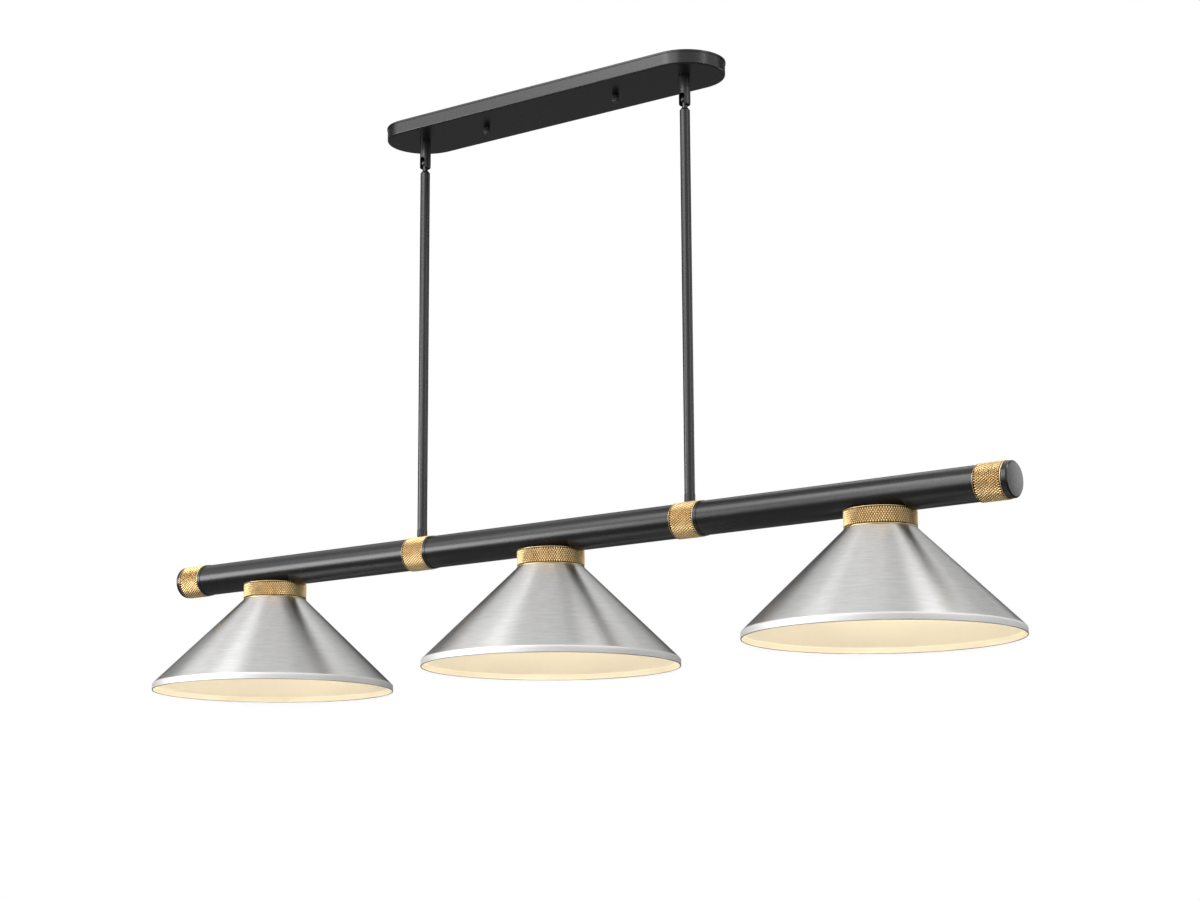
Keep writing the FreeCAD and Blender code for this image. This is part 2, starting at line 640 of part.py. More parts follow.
def lead(name, turn):
    """Insulated lead from the left swivel ball down the stem, along the bar and down to one socket."""
    stem_x = STEM_X["left"] + LEAD_OFFSET * math.cos(turn)
    y = LEAD_OFFSET * math.sin(turn)
    lamp_x = LAMP_X[name]
    run_z = BAR_Z - LEAD_DROP
    side = math.copysign(1, lamp_x - stem_x)
    foot = SOCKET_CAVITY_TOP + NIPPLE_R + SOCKET_WIRE_HOLE_R - LEAD_INTO_SOCKET
    top = Vector(stem_x, y, BALL_Z + BALL_R / 2)
    arc_top = Vector(stem_x, y, run_z + LEAD_STEM_BEND)
    arc_side = Vector(stem_x + side * LEAD_STEM_BEND, y, run_z)
    lamp_side = Vector(lamp_x - side * LEAD_LAMP_BEND, y, run_z)
    lamp_top = Vector(lamp_x, y, run_z - LEAD_LAMP_BEND)
    end = Vector(lamp_x, y, foot)
    diagonal = math.sqrt(0.5)
    stem_centre = Vector(stem_x + side * LEAD_STEM_BEND, y, run_z + LEAD_STEM_BEND)
    stem_mid = stem_centre + Vector(-side * diagonal, 0, -diagonal) * LEAD_STEM_BEND
    lamp_centre = Vector(lamp_x - side * LEAD_LAMP_BEND, y, run_z - LEAD_LAMP_BEND)
    lamp_mid = lamp_centre + Vector(side * diagonal, 0, diagonal) * LEAD_LAMP_BEND
    path = Part.Wire([
        Part.makeLine(top, arc_top),
        Part.Arc(arc_top, stem_mid, arc_side).toShape(),
        Part.makeLine(arc_side, lamp_side),
        Part.Arc(lamp_side, lamp_mid, lamp_top).toShape(),
        Part.makeLine(lamp_top, end),
    ])
    section = Part.Wire(Part.makeCircle(LEAD_R, top, Z_AXIS))
    tube = path.makePipeShell([section], True, False)
    expected = math.pi * LEAD_R ** 2 * path.Length
    print("lead", name, "bends", LEAD_STEM_BEND, LEAD_LAMP_BEND, "volume over section times length",
          round(tube.Volume / expected, 4))
    return tube


def build():
    """All sub-parts by name."""
    seam_left = SEAM_X["left"]
    seam_right = SEAM_X["right"]
    nodes = {
        "canopy_pan": canopy_pan(),
        "crossbar": crossbar(),
        "ground_screw": ground_screw(),
        "canopy_studs": canopy_studs(),
        "stud_lock_nuts": stud_lock_nuts(),
        "canopy_cap_nuts": canopy_cap_nuts(),
        "hanger_nipples": hanger_nipples(),
        "hanger_washers": hanger_washers(),
        "hanger_lock_nuts": hanger_lock_nuts(),
        "sleeve_bushings": sleeve_bushings(),
        "stem_nipples": stem_nipples(),
        "stem_saddle_washers": stem_saddle_washers(),
        "stem_lock_nuts": stem_lock_nuts(),
        "bar_left": bar_section(-BAR_END, seam_left, -BAR_END + BAND_WIDTH, ["left"], "left"),
        "bar_centre": bar_section(seam_left, seam_right, seam_left, ["right"], "centre"),
        "bar_right": bar_section(seam_right, BAR_END, seam_right, [], "right"),
        "end_band_left": end_band(-1),
        "end_band_right": end_band(1),
        "end_cap_left": end_cap(-1),
        "end_cap_right": end_cap(1),
        "lamp_nipples": lamp_nipples(),
        "lamp_saddle_washers": lamp_saddle_washers(),
        "lamp_lock_nuts": lamp_lock_nuts(),
        "socket_shells": socket_shells(),
        "socket_contacts": socket_contacts(),
    }
    for side, x in STEM_X.items():
        nodes["swivel_sleeve_" + side] = swivel_sleeve(x)
        nodes["swivel_ball_" + side] = swivel_ball(x)
        nodes["stem_" + side] = stem(x)
        nodes["stem_collar_" + side] = stem_collar(x)
        nodes["stem_band_" + side] = stem_band(x)
        nodes["joint_hub_" + side] = joint_hub(x, SEAM_X[side])
    for place, (name, x) in enumerate(LAMP_X.items()):
        nodes["neck_cup_" + name] = neck_cup(x)
        nodes["socket_" + name] = socket_body(x)
        nodes["shade_" + name] = shade(x)
        nodes["shade_ring_" + name] = shade_ring(x)
        nodes["bulb_base_" + name] = bulb_base(x)
        nodes["bulb_glass_" + name] = bulb_glass(x)
        nodes["lead_" + name] = lead(name, math.radians(LEAD_FIRST_TURN + LEAD_TURN_STEP * place))
    return nodes


def main():
    os.makedirs("parts", exist_ok=True)
    nodes = build()
    for name, shape in nodes.items():
        count = len(shape.Solids)
        print(f"{name:22s} solids {count} volume {shape.Volume:12.1f} valid {shape.isValid()}")
        shape.exportStep("parts/" + name + ".step")
    print("nodes", len(nodes))


main()
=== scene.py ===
"""Looks of a linear island pendant: spun shades, knurled brass, satin black tubes and a white studio."""
import bmesh
import bpy
import json
import math

from mathutils import Matrix, Vector


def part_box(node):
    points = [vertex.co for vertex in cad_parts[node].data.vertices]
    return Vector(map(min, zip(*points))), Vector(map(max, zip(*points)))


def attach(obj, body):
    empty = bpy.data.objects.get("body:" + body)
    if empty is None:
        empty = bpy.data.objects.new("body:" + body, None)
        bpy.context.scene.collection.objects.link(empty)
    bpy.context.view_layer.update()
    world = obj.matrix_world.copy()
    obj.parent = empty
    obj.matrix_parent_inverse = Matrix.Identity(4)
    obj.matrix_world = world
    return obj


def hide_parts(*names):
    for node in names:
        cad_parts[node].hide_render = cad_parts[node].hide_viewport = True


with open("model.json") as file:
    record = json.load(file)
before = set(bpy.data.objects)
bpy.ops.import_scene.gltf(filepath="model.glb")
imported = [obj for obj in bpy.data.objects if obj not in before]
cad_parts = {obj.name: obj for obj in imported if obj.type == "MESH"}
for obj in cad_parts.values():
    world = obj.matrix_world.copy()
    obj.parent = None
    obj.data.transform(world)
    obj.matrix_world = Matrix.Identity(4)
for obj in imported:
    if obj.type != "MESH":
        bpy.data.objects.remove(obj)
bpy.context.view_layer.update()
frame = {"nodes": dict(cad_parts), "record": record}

MM = 0.001

# Camera, fitted to the photograph on an image of 1200 x 900 pixels, and the farthest that it sees
IMAGE_WIDTH = 1200.0
SENSOR_WIDTH = 36.0
FOCAL_PIXELS = 2482.2
CAMERA_PLACE = Vector((2.0652, -2.6776, -1.1839))
CAMERA_YAW = math.radians(-36.48)
CAMERA_PITCH = math.radians(11.22)
CAMERA_ROLL = math.radians(-0.33)
VIEW_END = 100.0

# Studio: level of the world's light, and the dimmer gloss overhead, between two heights of its direction
WORLD_LEVEL = 0.44
CEILING_GLOSS = 0.72
OVERHEAD_FROM = 0.35
OVERHEAD_TO = 0.55
# Floor: height, half width, grey for light, and how much of it the camera sees as white
FLOOR_Z = -2.10
FLOOR_HALF = 14.0
FLOOR_GREY = 0.30
FLOOR_WHITE = 0.82
# Point that the lamps look at, and their distance from it
AIM = Vector((0.0, 0.0, -0.55))
LAMP_DISTANCE = 2.7
# Name, azimuth, elevation, width, height and radiance of each lamp
LAMPS_OF_STUDIO = [
    ("strip_right", 0, 20, 0.4, 1.2, 2.6),
    ("box_right", 0, 15, 0.8, 0.8, 1.1),
    ("box_right_high", 0, 45, 0.8, 0.8, 5.8),
    ("strip_left", -106, 16, 0.25, 1.4, 6.4),
    ("strip_front", -88, 22, 1.5, 1.1, 2.8),
    ("bank_left", -138, 6, 1.3, 0.9, 7.4),
    ("bank_left_high", -140, 24, 1.2, 0.8, 0.7),
    ("bank_front", -125, 10, 1.2, 0.8, 0.3),
    ("bank_front_high", -127, 42, 1.2, 0.8, 2.7),
    ("slit_front", -112, 32, 1.2, 0.4, 3.0),
    ("slit_left", -148, 32, 1.2, 0.4, 0.8),
    ("box_front", -112, 45, 0.8, 0.8, 4.2),
    ("slit_mid", -131, 28, 1.2, 0.4, 0.6),
    ("box_far_right", 56, 12, 0.8, 0.8, 2.6),
    ("box_back_right", 70, 50, 0.8, 0.8, 0.9),
    ("box_back", 120, 50, 0.8, 0.8, 0.9),
    ("top_near", -50, 72, 0.8, 0.8, 1.25),
    ("top_left", -100, 72, 0.8, 0.8, 0.95),
    ("top_right", 0, 72, 0.8, 0.8, 0.7),
    ("top_back", 120, 72, 0.8, 0.8, 0.4),
]
# Azimuth, elevation and darkness of each dark card in the backdrop, and the angles where its edge fades
DARK_CARDS = [(178.5, 8, 0.90), (126.5, 8, 0.92), (78, 8, 0.90)]
CARD_INNER = 20
CARD_OUTER = 31

# Meshes: angle that stays a sharp edge, and steps in a rounded corner
SHARP_ANGLE = math.radians(32.0)
ARC_STEPS = 6

# Shades: slope is radius over height
SHADE_SEGMENTS = 224
SHADE_WALL = 1.2 * MM
SHADE_SLOPE = 1.03
SHADE_TOP_R = 45.6 * MM
SHADE_TOP_RADIUS = 1.5 * MM
SHADE_HOLE_R = 20.25 * MM
LIP_BEND_RADIUS = 4.0 * MM
RIM_ROLL = 0.6 * MM
EDGE_ROUND = 0.25 * MM

# Knurl: pitch round the ring, length of a diamond over the pitch, depth, and flat of its crest as a share.
# Then the plain lands beside it, their step down, and the cup's wall, roof, hole and saddle
CUP_PITCH = 3.4 * MM
BAND_PITCH = 3.4 * MM
KNURL_STRETCH = 1.5
KNURL_DEPTH = 1.1 * MM
KNURL_FLAT = 0.15
LAND_STEP = 0.15 * MM
LAND_DROP = 0.15 * MM
BAND_LAND = 0.55 * MM
BAND_EDGE = 0.3 * MM
CUP_LAND = 0.7 * MM
CUP_WALL = 2.5 * MM
CUP_ROOF = 6.0 * MM
CUP_EDGE = 0.45 * MM
CUP_HOLE_R = 5.1 * MM
SADDLE_PLAY = 0.1 * MM
CUTTER_SEGMENTS = 192

# Lamps: glow at the foot of the dome and at the neck, and the shares of the height between which it fades
DOME_GLOW = 94.0
NECK_GLOW = 1.0
FADE_START = 0.05
FADE_END = 0.42

# Bar: tube, play of the bands on it, and step of the turned rings in its paint
TUBE_R = 23.0 * MM
BAND_PLAY = 0.15 * MM
RING_STEP = 0.4 * MM

# Levels of the oxide black over the satin one, and of the enamel in the lip over that in the cone. The first
# is partly painted light for pieces in the canopy's shade; the second is painted shade
OXIDE_AND_PAINTED_LIGHT_LEVEL = 4.0
LIP_PAINTED_SHADE_LEVEL = 0.82

# End caps
CAP_SEGMENTS = 160
CAP_WIDTH = 8.5 * MM
CAP_CHAMFER = 1.9 * MM
CAP_ROUND = 0.3 * MM
CAP_ARC_STEPS = 4
SPIGOT_R = 21.4 * MM
SPIGOT_WALL = 3.0 * MM

# Ribs of the stem collars and cap nuts: each corner's share of a rib's turn, and whether it is on the crest
RIB_CORNERS = ((0.0, False), (0.22, False), (0.42, True), (0.80, True))
COLLAR_RIBS = 28
COLLAR_RIB_DEPTH = 0.55 * MM
COLLAR_EDGE = 0.4 * MM
NUT_RIBS = 18
NUT_RIB_DEPTH = 0.35 * MM
NUT_EDGE = 0.8 * MM

SIDES = ("left", "right")
LAMPS = ("left", "centre", "right")


def middle(node):
    """Centre of a CAD node's box."""
    low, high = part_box(node)
    return (low + high) / 2


def half_size(node):
    """Half of the size of a CAD node's box."""
    low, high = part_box(node)
    return (high - low) / 2


def bar_height():
    """Height of the bar's axis."""
    return middle("end_cap_left").z


# Node helpers
def new_material(name):
    """Empty material with its Principled shader."""
    material = bpy.data.materials.new(name)
    material.use_nodes = True
    shader = material.node_tree.nodes["Principled BSDF"]
    return material, material.node_tree, shader


def new_metal(name):
    """Empty material with its Principled shader set to metal."""
    material, tree, shader = new_material(name)
    shader.inputs["Metallic"].default_value = 1.0
    return material, tree, shader


def add(tree, kind, **values):
    """A node with its properties set, and its numbered or named inputs from a dict called inputs."""
    node = tree.nodes.new(kind)
    inputs = values.pop("inputs", {})
    for key, value in values.items():
        setattr(node, key, value)
    for key, value in inputs.items():
        node.inputs[key].default_value = value
    return node


def join(tree, source, target):
    """Link between two sockets."""
    tree.links.new(source, target)


def math_node(tree, operation, first, second):
    """Maths on two sockets or numbers."""
    node = add(tree, "ShaderNodeMath", operation=operation)
    for socket, value in zip(node.inputs, (first, second)):
        if isinstance(value, (int, float)):
            socket.default_value = value
        else:
            join(tree, value, socket)
    return node.outputs[0]


def scaled(colour, level):
    """Colour times a level."""
    return tuple(part * level for part in colour)


def ramp(tree, source, stops):
    """Colour ramp through (place, colour) stops."""
    node = add(tree, "ShaderNodeValToRGB")
    elements = node.color_ramp.elements
    while len(elements) < len(stops):
        elements.new(0.5)
    for element, (place, colour) in zip(elements, stops):
        element.position = place
        element.color = (*colour, 1.0)
    join(tree, source, node.inputs["Fac"])
    return node.outputs["Color"]


def spread(tree, source, low, high):
    """A 0 to 1 value mapped to low and high."""
    node = add(tree, "ShaderNodeMapRange", inputs={"To Min": low, "To Max": high})
    join(tree, source, node.inputs["Value"])
    return node.outputs["Result"]


def noise(tree, vector, scale, detail=3.0, roughness=0.5):
    """Noise value on a vector socket."""
    node = add(tree, "ShaderNodeTexNoise", inputs={"Scale": scale, "Detail": detail, "Roughness": roughness})
    join(tree, vector, node.inputs["Vector"])
    return node.outputs["Fac"]


def stretched(tree, scale):
    """Object coordinates scaled along each axis."""
    place = add(tree, "ShaderNodeTexCoord")
    mapping = add(tree, "ShaderNodeMapping", inputs={"Scale": scale})
    join(tree, place.outputs["Object"], mapping.inputs["Vector"])
    return mapping.outputs["Vector"]


def speckle(tree, scale, detail):
    """Noise value on the object's own coordinates."""
    return noise(tree, stretched(tree, (1, 1, 1)), scale, detail)


def bump(tree, shader, height, distance):
    """Bump on the shader from a height socket, in metres of distance."""
    node = add(tree, "ShaderNodeBump", inputs={"Strength": 1.0, "Distance": distance})
    join(tree, height, node.inputs["Height"])
    join(tree, node.outputs["Normal"], shader.inputs["Normal"])


# Materials
def satin_black(name, ring_step=None, level=1.0):
    """Satin black paint with a fine grain, lighter by level. ring_step adds turned rings along X."""
    material, tree, shader = new_material(name)
    shader.inputs["Specular IOR Level"].default_value = 0.5
    grain = speckle(tree, 900.0, 2.0)
    cloud = speckle(tree, 14.0, 3.0)
    tint = [(0.3, scaled((0.006, 0.006, 0.0065), level)), (0.7, scaled((0.009, 0.009, 0.0095), level))]
    colour = ramp(tree, cloud, tint)
    join(tree, colour, shader.inputs["Base Color"])
    join(tree, spread(tree, cloud, 0.25, 0.29), shader.inputs["Roughness"])
    height = math_node(tree, "MULTIPLY", grain, 0.15)
    if ring_step:
        lines = noise(tree, stretched(tree, (1.0 / ring_step, 0.6, 0.6)), 1.0, 2.0)
        height = math_node(tree, "ADD", height, math_node(tree, "MULTIPLY", lines, 0.5))
    bump(tree, shader, height, 0.01 * MM)
    return material


def knurled_brass(name, radius):
    """Satin brass of a ring about its own Z axis: bright on the diamonds, darkened towards the groove floors
    as painted shade.
    """
    material, tree, shader = new_metal(name)
    place = add(tree, "ShaderNodeTexCoord")
    flat = add(tree, "ShaderNodeVectorMath", operation="MULTIPLY", inputs={1: (1, 1, 0)})
    join(tree, place.outputs["Object"], flat.inputs[0])
    reach = add(tree, "ShaderNodeVectorMath", operation="LENGTH")
    join(tree, flat.outputs["Vector"], reach.inputs[0])
    height = add(tree, "ShaderNodeMapRange", inputs={"From Min": radius - KNURL_DEPTH, "From Max": radius})
    join(tree, reach.outputs["Value"], height.inputs["Value"])
    cloud = speckle(tree, 120.0, 4.0)
    fine = speckle(tree, 1500.0, 2.0)
    groove_shade_and_wear = math_node(tree, "ADD", height.outputs["Result"], math_node(tree, "MULTIPLY", cloud, 0.4))
    # Painted shade: from bright brass at the crests to nearly black at the groove floors, with random tone
    # added
    tint = [(0.3, (0.07, 0.03, 0.006)), (0.52, (0.80, 0.50, 0.17)), (0.9, (0.94, 0.76, 0.46))]
    colour = ramp(tree, groove_shade_and_wear, tint)
    join(tree, colour, shader.inputs["Base Color"])
    join(tree, spread(tree, cloud, 0.35, 0.44), shader.inputs["Roughness"])
    bump(tree, shader, fine, 0.01 * MM)
    return material


def around_axis(tree, turns, along):
    """Coordinates for marks that run round the object's Z axis: the direction from the axis times turns, and
    the distance from the apex times along."""
    place = add(tree, "ShaderNodeTexCoord")
    split = add(tree, "ShaderNodeSeparateXYZ")
    join(tree, place.outputs["Object"], split.inputs[0])
    flat = add(tree, "ShaderNodeCombineXYZ")
    join(tree, split.outputs["X"], flat.inputs["X"])
    join(tree, split.outputs["Y"], flat.inputs["Y"])
    outward = add(tree, "ShaderNodeVectorMath", operation="NORMALIZE")
    join(tree, flat.outputs[0], outward.inputs[0])
    spun = add(tree, "ShaderNodeVectorMath", operation="SCALE")
    spun.inputs["Scale"].default_value = turns
    join(tree, outward.outputs[0], spun.inputs[0])
    rise = add(tree, "ShaderNodeCombineXYZ")
    join(tree, math_node(tree, "MULTIPLY", split.outputs["Z"], along), rise.inputs["Z"])
    total = add(tree, "ShaderNodeVectorMath", operation="ADD")
    join(tree, spun.outputs[0], total.inputs[0])
    join(tree, rise.outputs[0], total.inputs[1])
    return total.outputs[0]


def brushed_shade():
    """Brushed light metal, with the brushing round the axis of the shade."""
    material, tree, shader = new_metal("brushed_shade")
    shader.inputs["Anisotropic"].default_value = 0.85
    shader.inputs["Anisotropic Rotation"].default_value = 0.25
    tangent = add(tree, "ShaderNodeTangent", direction_type="RADIAL", axis="Z")
    join(tree, tangent.outputs[0], shader.inputs["Tangent"])
    lines = noise(tree, around_axis(tree, 4.5, 1500.0), 1.0, 4.0, 0.65)
    broad = noise(tree, around_axis(tree, 9.0, 260.0), 1.0, 3.0)
    fine_share = math_node(tree, "MULTIPLY", lines, 0.75)
    mixed = math_node(tree, "ADD", fine_share, math_node(tree, "MULTIPLY", broad, 0.25))
    colour = ramp(tree, mixed, [(0.3, (0.49, 0.487, 0.48)), (0.7, (0.67, 0.667, 0.66))])
    join(tree, colour, shader.inputs["Base Color"])
    join(tree, spread(tree, lines, 0.30, 0.42), shader.inputs["Roughness"])
    bump(tree, shader, lines, 0.006 * MM)
    return material


def turned_lip_painted_highlight():
    """Lip of the shade, turned smooth, and brighter than the brushed cone as a painted highlight for the
    bright band it catches.
    """
    material, tree, shader = new_metal("turned_lip_painted_highlight")
    lines = noise(tree, around_axis(tree, 3.0, 2600.0), 1.0, 3.0)
    # Brighter base than the cone: painted highlight on the lip
    colour = ramp(tree, lines, [(0.3, (0.67, 0.665, 0.655)), (0.7, (0.75, 0.745, 0.735))])
    join(tree, colour, shader.inputs["Base Color"])
    join(tree, spread(tree, lines, 0.56, 0.64), shader.inputs["Roughness"])
    bump(tree, shader, lines, 0.004 * MM)
    return material


def warm_inside(name, level):
    """Warm white enamel inside the shades, darker by level. The lip's copy is darker as painted shade against
    the lamp's light on it.
    """
    material, tree, shader = new_material(name)
    shader.inputs["Specular IOR Level"].default_value = 0.3
    cloud = speckle(tree, 9.0, 2.0)
    grain = speckle(tree, 700.0, 2.0)
    tint = [(0.3, scaled((0.88, 0.82, 0.70), level)), (0.7, scaled((0.90, 0.84, 0.72), level))]
    colour = ramp(tree, cloud, tint)
    join(tree, colour, shader.inputs["Base Color"])
    join(tree, spread(tree, cloud, 0.50, 0.58), shader.inputs["Roughness"])
    bump(tree, shader, grain, 0.015 * MM)
    return material


def painted_shade_edge():
    """Cut edge of the sheet metal, painted nearly black as the shade along the rim's thin edge."""
    material, tree, shader = new_metal("painted_shade_edge")
    marks = speckle(tree, 400.0, 3.0)
    # Nearly black metal: painted shade along the thin rim edge
    colour = ramp(tree, marks, [(0.3, (0.06, 0.058, 0.055)), (0.7, (0.12, 0.118, 0.11))])
    join(tree, colour, shader.inputs["Base Color"])
    join(tree, spread(tree, marks, 0.4, 0.55), shader.inputs["Roughness"])
    return material


def plated_steel():
    """Zinc plated steel with a faint yellow and blue spangle."""
    material, tree, shader = new_metal("zinc_steel")
    cloud = speckle(tree, 60.0, 4.0)
    fine = speckle(tree, 900.0, 2.0)
    tint = [(0.3, (0.56, 0.57, 0.60)), (0.55, (0.66, 0.66, 0.66)), (0.75, (0.68, 0.66, 0.58))]
    colour = ramp(tree, cloud, tint)
    join(tree, colour, shader.inputs["Base Color"])
    join(tree, spread(tree, cloud, 0.28, 0.42), shader.inputs["Roughness"])
    bump(tree, shader, fine, 0.01 * MM)
    return material


def plain_brass():
    """Bright brass of the socket shells and contacts."""
    material, tree, shader = new_metal("socket_brass")
    cloud = speckle(tree, 200.0, 3.0)
    colour = ramp(tree, cloud, [(0.3, (0.72, 0.50, 0.22)), (0.7, (0.84, 0.62, 0.30))])
    join(tree, colour, shader.inputs["Base Color"])
    join(tree, spread(tree, cloud, 0.18, 0.28), shader.inputs["Roughness"])
    return material


def lamp_base():
    """Nickel-plated screw base, with its thread as a bump and darker in the thread's grooves as painted
    shade.
    """
    material, tree, shader = new_metal("lamp_base")
    wave = add(tree, "ShaderNodeTexWave", wave_type="BANDS", bands_direction="Z", inputs={"Scale": 44.0})
    join(tree, stretched(tree, (1, 1, 1)), wave.inputs["Vector"])
    # Painted shade: darker where the thread's bump is low
    colour = ramp(tree, wave.outputs["Fac"], [(0.0, (0.55, 0.54, 0.52)), (1.0, (0.74, 0.73, 0.71))])
    join(tree, colour, shader.inputs["Base Color"])
    shader.inputs["Roughness"].default_value = 0.25
    bump(tree, shader, wave.outputs["Fac"], 0.5 * MM)
    return material


def moulded_plastic(name, dark, light, roughness):
    """Moulded plastic with a fine spark-eroded grain."""
    material, tree, shader = new_material(name)
    grain = speckle(tree, 1200.0, 2.0)
    cloud = speckle(tree, 40.0, 2.0)
    join(tree, ramp(tree, cloud, [(0.3, dark), (0.7, light)]), shader.inputs["Base Color"])
    join(tree, spread(tree, cloud, roughness - 0.04, roughness + 0.04), shader.inputs["Roughness"])
    bump(tree, shader, grain, 0.03 * MM)
    return material


def lit_glass():
    """Frosted lamp glass, lit from inside: the foot of its dome glows, and its neck hardly does."""
    low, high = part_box("bulb_glass_centre")
    material, tree, shader = new_material("lamp_glass")
    cloud = speckle(tree, 30.0, 2.0)
    colour = ramp(tree, cloud, [(0.3, (0.93, 0.88, 0.78)), (0.7, (0.96, 0.91, 0.82))])
    join(tree, colour, shader.inputs["Base Color"])
    shader.inputs["Roughness"].default_value = 0.35
    shader.inputs["Emission Color"].default_value = (1.0, 0.885, 0.70, 1.0)
    place = add(tree, "ShaderNodeTexCoord")
    split = add(tree, "ShaderNodeSeparateXYZ")
    join(tree, place.outputs["Object"], split.inputs[0])
    tall = high.z - low.z
    fade = {"From Min": low.z + FADE_START * tall, "From Max": low.z + FADE_END * tall,
            "To Min": DOME_GLOW, "To Max": NECK_GLOW}
    glow = add(tree, "ShaderNodeMapRange", interpolation_type="SMOOTHSTEP", inputs=fade)
    join(tree, split.outputs["Z"], glow.inputs["Value"])
    join(tree, glow.outputs["Result"], shader.inputs["Emission Strength"])
    return material


# Mesh helpers
def mesh_piece(name, vertices, faces, materials, indices, flat, place=(0, 0, 0)):
    """Object from vertices and faces. indices gives each face's material, flat says which aren't smooth."""
    mesh = bpy.data.meshes.new(name)
    mesh.from_pydata(vertices, [], faces)
    for material in materials:
        mesh.materials.append(material)
    for polygon, index, is_flat in zip(mesh.polygons, indices, flat):
        polygon.material_index = index
        polygon.use_smooth = not is_flat
    work = bmesh.new()
    work.from_mesh(mesh)
    bmesh.ops.recalc_face_normals(work, faces=work.faces)
    work.to_mesh(mesh)
    work.free()
    mesh.set_sharp_from_angle(angle=SHARP_ANGLE)
    piece = bpy.data.objects.new(name, mesh)
    piece.location = place
    bpy.context.scene.collection.objects.link(piece)
    return piece


def corner_arc(before, corner, after, radius, steps):
    """Points of a tangent arc at a corner of a flat outline."""
    if radius <= 0:
        return [corner]
    back = (before - corner).normalized()
    ahead = (after - corner).normalized()
    half_angle = back.angle(ahead) / 2
    reach = radius / math.tan(half_angle)
    centre = corner + (back + ahead).normalized() * (radius / math.sin(half_angle))
    first = (corner + back * reach - centre).normalized()
    last = (corner + ahead * reach - centre).normalized()
    return [centre + first.slerp(last, k / steps) * radius for k in range(steps + 1)]


def rounded(pairs, radii):
    """Closed outline of (radius, height) pairs with rounded corners: points, and each one's corner number."""
    points = [Vector(p) for p in pairs]
    out = []
    owners = []
    count = len(points)
    for k, radius in enumerate(radii):
        arc = corner_arc(points[k - 1], points[k], points[(k + 1) % count], radius, ARC_STEPS)
        out += arc
        owners += [k] * len(arc)
    return out, owners


def polar(radius, turn, height):
    """Point at a radius, turn and height."""
    return (radius * math.cos(turn), radius * math.sin(turn), height)


def ring_points(points, segments):
    """Vertices of (radius, height) points turned round Z."""
    turns = [2 * math.pi * k / segments for k in range(segments)]
    return [polar(p[0], t, p[1]) for p in points for t in turns]


def ring_faces(first, second, segments):
    """Quads between two rings that start at the given vertices."""
    faces = []
    for k in range(segments):
        after = (k + 1) % segments
        faces.append((first + k, first + after, second + after, second + k))
    return faces


def twin(piece):
    """Second object with the same mesh."""
    second = bpy.data.objects.new(piece.name, piece.data)
    bpy.context.scene.collection.objects.link(second)
    return second


def stand_for(piece, body, node):
    """Makes a piece ride on its body in place of a CAD node, which it hides."""
    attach(piece, body)
    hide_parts(node)


def copies(first, prefix, node_prefix):
    """One copy for each lamp of a piece that is made at x = 0. They share its mesh."""
    for lamp in LAMPS:
        piece = first if lamp == LAMPS[0] else twin(first)
        piece.name = prefix + lamp
        piece.location.x = middle(node_prefix + lamp).x
        stand_for(piece, "hanging_bar", node_prefix + lamp)


# Shades
def shade_outline(inset, top_z, rim_z, rim_r):
    """Corners of the shade's section from its top hole to its rim, moved in by inset."""
    lean = math.hypot(1, SHADE_SLOPE)
    apex = top_z + SHADE_TOP_R / SHADE_SLOPE - inset * lean / SHADE_SLOPE
    top = top_z - inset
    rim = rim_r - inset
    bend_z = apex - rim / SHADE_SLOPE
    shoulder = (apex - top) * SHADE_SLOPE
    return [(SHADE_HOLE_R, top), (shoulder, top), (rim, bend_z), (rim, rim_z + RIM_ROLL), (rim, rim_z)]


def spun_shade(materials):
    """The three shades, which share one mesh: brushed cone, lip painted brighter, enamel inside with a lip
    painted darker, and a cut edge painted dark as shade.
    """
    low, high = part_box("shade_centre")
    rim_r = (high.x - low.x) / 2
    outer = shade_outline(0, high.z, low.z, rim_r)
    inner = shade_outline(SHADE_WALL, high.z, low.z, rim_r)
    pairs = outer + inner[::-1]
    radii = [0, SHADE_TOP_RADIUS, LIP_BEND_RADIUS, 0, EDGE_ROUND,
             EDGE_ROUND, 0, LIP_BEND_RADIUS - SHADE_WALL, SHADE_TOP_RADIUS - SHADE_WALL, 0]
    points, owners = rounded(pairs, radii)
    vertices = ring_points(points, SHADE_SEGMENTS)
    faces = []
    indices = []
    brushed, lip, enamel, shaded_lip_enamel, edge = range(5)
    finish = [brushed, brushed, lip, edge, edge, edge, shaded_lip_enamel, enamel, enamel, edge]
    for k, owner in enumerate(owners):
        after = (k + 1) % len(points)
        faces += ring_faces(k * SHADE_SEGMENTS, after * SHADE_SEGMENTS, SHADE_SEGMENTS)
        indices += [finish[owner]] * SHADE_SEGMENTS
    first = mesh_piece("spun_shade", vertices, faces, materials, indices, [False] * len(faces))
    copies(first, "spun_shade_", "shade_")


